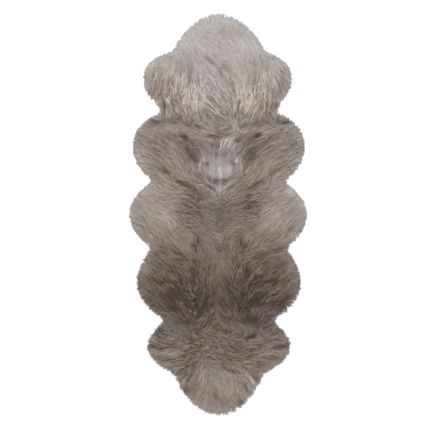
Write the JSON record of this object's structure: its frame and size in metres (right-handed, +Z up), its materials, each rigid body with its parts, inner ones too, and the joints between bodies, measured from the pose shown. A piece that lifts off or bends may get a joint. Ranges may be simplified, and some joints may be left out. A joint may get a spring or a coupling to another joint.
{
  "type": "sheepskin rug",
  "caption": "Long lobed sheepskin rug with combed grey-brown wool on a flat tanned hide, lying flat on the floor.",
  "frame": {"origin": "on the floor, under the middle of the rug", "axes": "+Y along the rug towards its head end, +X to the right as seen from above with the head up, +Z up out of the wool"},
  "size_m": [0.7998, 1.7997, 0.052],
  "materials": {
    "suede": "napped suede of a tanned skin, matt and pale cream",
    "wool": "long combed wool, grey-brown, paler at the head end and the tail"
  },
  "bodies": {
    "root": {"hide": "suede", "fleece": "wool"}
  },
  "joints": []
}
